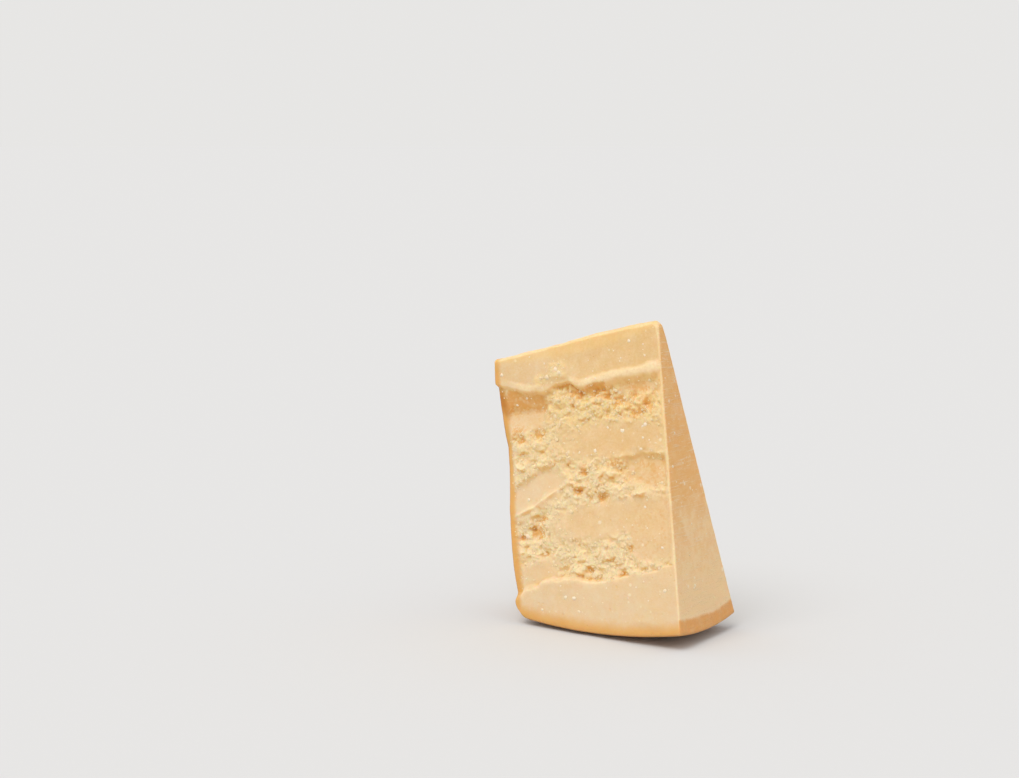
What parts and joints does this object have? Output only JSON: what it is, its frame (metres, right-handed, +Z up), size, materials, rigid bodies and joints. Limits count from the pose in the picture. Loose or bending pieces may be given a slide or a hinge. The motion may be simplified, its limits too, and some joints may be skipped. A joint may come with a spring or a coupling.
{
  "type": "grana cheese wedge",
  "caption": "Wedge of aged hard cheese broken from a half-height wheel, standing on its rind, with a crumbly broken front and a smooth cut side.",
  "frame": {"origin": "centre of the bounding box's base, on the surface that the piece stands on", "axes": "+Z up as the piece stands, +X from the rind of the wheel's flat face towards the cut at mid-height, -Y out of the front break"},
  "size_m": [0.1488, 0.0712, 0.1883],
  "materials": {
    "cheese": "matt, slightly waxy cheese paste with a browner rind"
  },
  "bodies": {
    "root": {"cheese_wedge": "cheese"}
  },
  "joints": []
}
